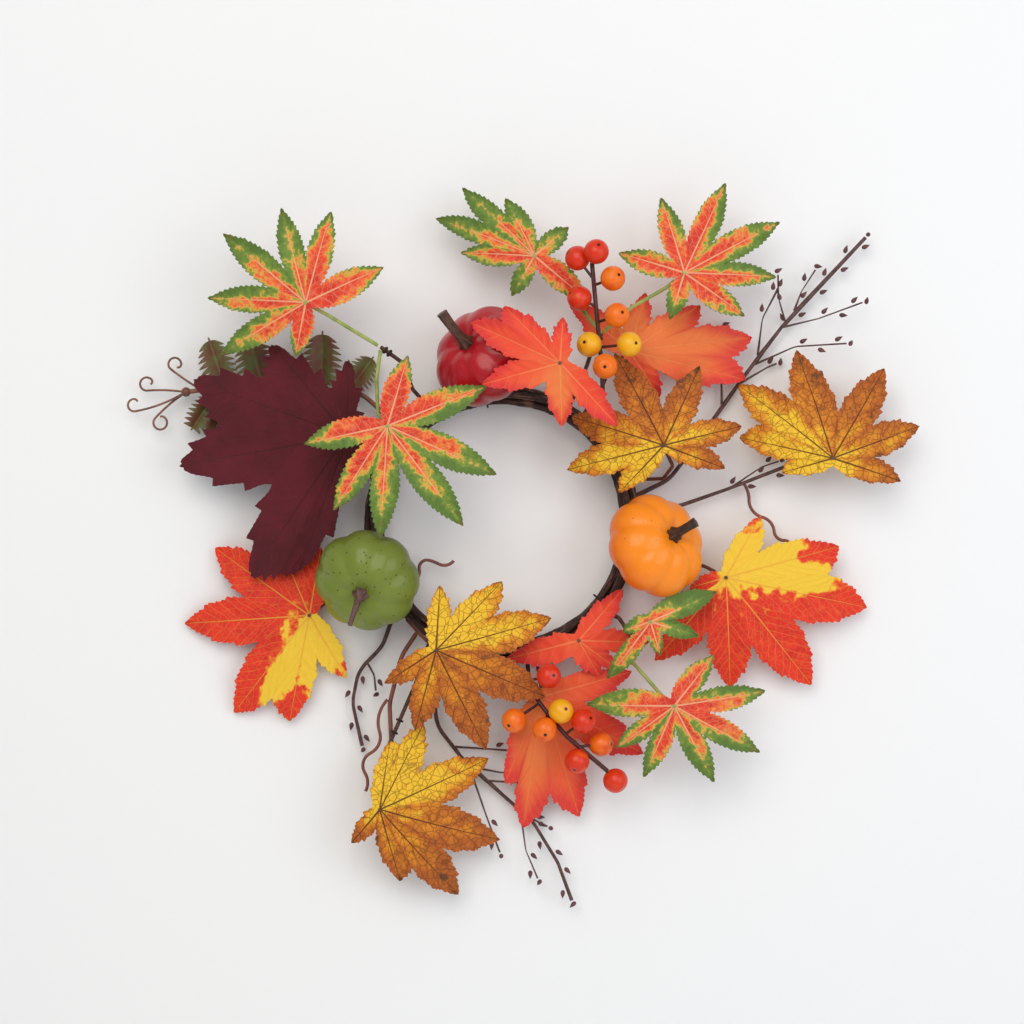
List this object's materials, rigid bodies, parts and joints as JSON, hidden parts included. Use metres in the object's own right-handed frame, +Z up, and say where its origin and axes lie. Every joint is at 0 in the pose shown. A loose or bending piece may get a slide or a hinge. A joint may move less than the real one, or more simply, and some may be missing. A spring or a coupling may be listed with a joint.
{
  "type": "harvest door wreath",
  "caption": "Round door wreath: twisted vine ring with wired autumn leaves, mini pumpkins, berries, twigs and tendrils",
  "frame": {"origin": "hook seat: the inside top of the ring, where the wreath rests on a hook", "axes": "+X to the viewer's right, +Z up, the front faces -Y and the door is on the +Y side; metres"},
  "size_m": [0.3946, 0.0599, 0.3596],
  "materials": {
    "vine_bark": "twisted vine bark, matt, fissured",
    "hoop_steel": "drawn steel wire",
    "florist_wire": "dark annealed florist wire",
    "stem_tape": "wound brown florist tape",
    "variegated_fabric": "printed polyester, green edge, yellow and red centre",
    "golden_fabric": "printed polyester, yellow to rust, dark veins",
    "scarlet_fabric": "printed polyester, scarlet and yellow",
    "burgundy_fabric": "dyed polyester, matt burgundy",
    "coral_fabric": "dyed polyester, coral to orange",
    "brown_stalk_plastic": "moulded stalk",
    "green_stalk_plastic": "moulded stalk",
    "red_foam": "lacquered foam",
    "orange_foam": "lacquered foam",
    "green_foam": "lacquered foam, speckled",
    "pumpkin_stem_plastic": "moulded ridged stem",
    "pick_steel": "steel wire",
    "berry_stem_plastic": "moulded stem",
    "berry_foam": "lacquered foam, red to yellow",
    "twig_plastic": "moulded twig",
    "bud_plastic": "moulded buds",
    "tendril_plastic": "smooth moulded tendril",
    "fern_plastic": "moulded leaflet, brown red to green"
  },
  "bodies": {
    "ring": {"binding_wires": "florist_wire", "burgundy_maple": "burgundy_fabric", "coral_leaf_stalks": "brown_stalk_plastic", "coral_maple_bottom": "coral_fabric", "coral_maple_lower": "coral_fabric", "coral_maple_top": "coral_fabric", "coral_maple_upper_right": "coral_fabric", "core_hoop": "hoop_steel", "fern_leaflets": "fern_plastic", "fern_stem": "tendril_plastic", "golden_maple_lower_left": "golden_fabric", "golden_maple_upper_right": "golden_fabric", "green_pumpkin": "green_foam", "green_pumpkin_pick": "pick_steel", "green_pumpkin_stem": "pumpkin_stem_plastic", "knot_wires": "florist_wire", "leaf_stalk_right": "green_stalk_plastic", "leaf_stalk_top": "green_stalk_plastic", "left_tendrils": "tendril_plastic", "lower_berries": "berry_foam", "lower_berry_stem": "berry_stem_plastic", "lower_buds": "bud_plastic", "lower_twigs": "twig_plastic", "maple_leaf_stalks": "brown_stalk_plastic", "orange_pumpkin": "orange_foam", "orange_pumpkin_pick": "pick_steel", "orange_pumpkin_stem": "pumpkin_stem_plastic", "pick_stubs": "stem_tape", "red_pumpkin": "red_foam", "red_pumpkin_pick": "pick_steel", "red_pumpkin_stem": "pumpkin_stem_plastic", "right_tendril": "tendril_plastic", "scarlet_maple_left": "scarlet_fabric", "scarlet_maple_right": "scarlet_fabric", "side_buds": "bud_plastic", "side_twigs": "twig_plastic", "upper_buds": "bud_plastic", "upper_twigs": "twig_plastic", "variegated_leaf_right": "variegated_fabric", "variegated_leaf_top": "variegated_fabric", "vine_strand_1": "vine_bark", "vine_strand_2": "vine_bark", "vine_strand_3": "vine_bark", "vine_strand_4": "vine_bark"},
    "leaf_pick_upper_left": {"variegated_leaf_upper_left": "variegated_fabric", "leaf_stalk_upper_left": "green_stalk_plastic"},
    "leaf_pick_centre_left": {"variegated_leaf_centre_left": "variegated_fabric", "leaf_stalk_centre_left": "green_stalk_plastic"},
    "leaf_pick_upper_right": {"variegated_leaf_upper_right": "variegated_fabric", "leaf_stalk_upper_right": "green_stalk_plastic"},
    "leaf_pick_lower_right": {"variegated_leaf_lower_right": "variegated_fabric", "leaf_stalk_lower_right": "green_stalk_plastic"},
    "leaf_pick_far_right": {"golden_maple_far_right": "golden_fabric", "leaf_stalk_far_right": "brown_stalk_plastic"},
    "leaf_pick_bottom": {"golden_maple_bottom": "golden_fabric", "leaf_stalk_bottom": "brown_stalk_plastic"},
    "berry_pick_upper": {"upper_berries": "berry_foam", "upper_berry_stem": "berry_stem_plastic"}
  },
  "joints": [
    {"name": "leaf_bend_upper_left", "type": "hinge", "parent": "ring", "child": "leaf_pick_upper_left", "pos_m": [-0.059, -0.03, 0.027], "axis": [0.5039, 0, 0.8638], "range_deg": [0, 35]},
    {"name": "leaf_bend_centre_left", "type": "hinge", "parent": "ring", "child": "leaf_pick_centre_left", "pos_m": [-0.059, -0.03, 0.027], "axis": [-0.9948, 0, -0.102], "range_deg": [0, 30]},
    {"name": "leaf_bend_upper_right", "type": "hinge", "parent": "ring", "child": "leaf_pick_upper_right", "pos_m": [0.049, -0.024, 0.034], "axis": [0.587, 0, -0.8096], "range_deg": [0, 24]},
    {"name": "leaf_bend_lower_right", "type": "hinge", "parent": "ring", "child": "leaf_pick_lower_right", "pos_m": [0.063, -0.02, -0.126], "axis": [-0.7234, 0, -0.6905], "range_deg": [0, 35]},
    {"name": "leaf_bend_far_right", "type": "hinge", "parent": "ring", "child": "leaf_pick_far_right", "pos_m": [0.141, -0.003, -0.031], "axis": [0.1789, 0, -0.9839], "range_deg": [0, 28]},
    {"name": "leaf_bend_bottom", "type": "hinge", "parent": "ring", "child": "leaf_pick_bottom", "pos_m": [-0.056, -0.009, -0.169], "axis": [-0.9918, 0, 0.128], "range_deg": [0, 35]},
    {"name": "berry_bend_upper", "type": "hinge", "parent": "ring", "child": "berry_pick_upper", "pos_m": [0.05, -0.019, -0.001], "axis": [0.9985, 0, 0.0555], "range_deg": [0, 12]}
  ]
}
